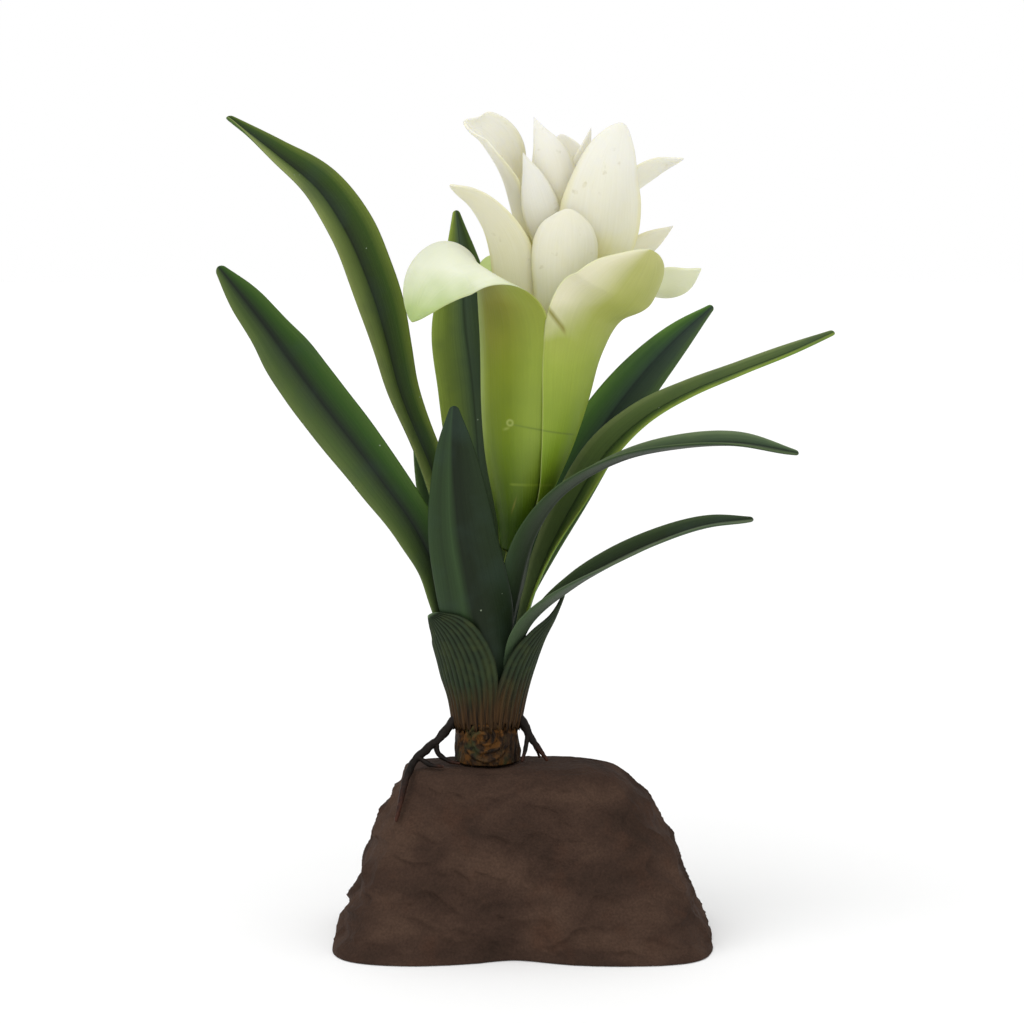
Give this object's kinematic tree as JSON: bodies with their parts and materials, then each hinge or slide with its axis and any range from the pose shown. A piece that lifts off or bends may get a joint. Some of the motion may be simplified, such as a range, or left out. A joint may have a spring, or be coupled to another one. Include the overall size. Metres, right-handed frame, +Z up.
{
  "type": "bromeliad on a rock block",
  "caption": "White trumpet-flowered bromeliad with arching strap leaves, standing on a bare rooted stub on a flat-footed brown rock block.",
  "frame": {"origin": "centre of the rock's flat underside", "axes": "+Z up, -Y the front, with the leaves spread mostly along X"},
  "size_m": [0.1857, 0.0788, 0.2484],
  "materials": {
    "rock": "matte",
    "stub": "matte",
    "root": "matte",
    "sheath": "satin",
    "leaf": "satin",
    "flower_stalk": "satin",
    "outer_bract": "satin",
    "inner_bract": "satin"
  },
  "bodies": {
    "root": {"rock": "rock", "stub": "stub", "root_left": "root", "root_right": "root", "sheath_left": "sheath", "sheath_right": "sheath", "sheath_back": "sheath", "leaf_left_tall": "leaf", "leaf_left_low": "leaf", "leaf_front": "leaf", "leaf_right_low": "leaf", "leaf_right_middle": "leaf", "leaf_right_long": "leaf", "leaf_right_back": "leaf", "leaf_back": "leaf", "leaf_left_back": "leaf", "flower_stalk": "flower_stalk", "bract_outer_left": "outer_bract", "bract_outer_right": "outer_bract", "bract_outer_back_right": "outer_bract", "bract_outer_back_left": "outer_bract", "bract_middle_left": "inner_bract", "bract_middle_front": "inner_bract", "bract_middle_right": "inner_bract", "bract_middle_back": "inner_bract", "bract_upper_right_front": "inner_bract", "bract_upper_right": "inner_bract", "bract_upper_left": "inner_bract", "bract_upper_left_front": "inner_bract", "bract_upper_back": "inner_bract", "bract_inner_left": "inner_bract", "bract_inner_right": "inner_bract", "bract_inner_back": "inner_bract"}
  },
  "joints": []
}
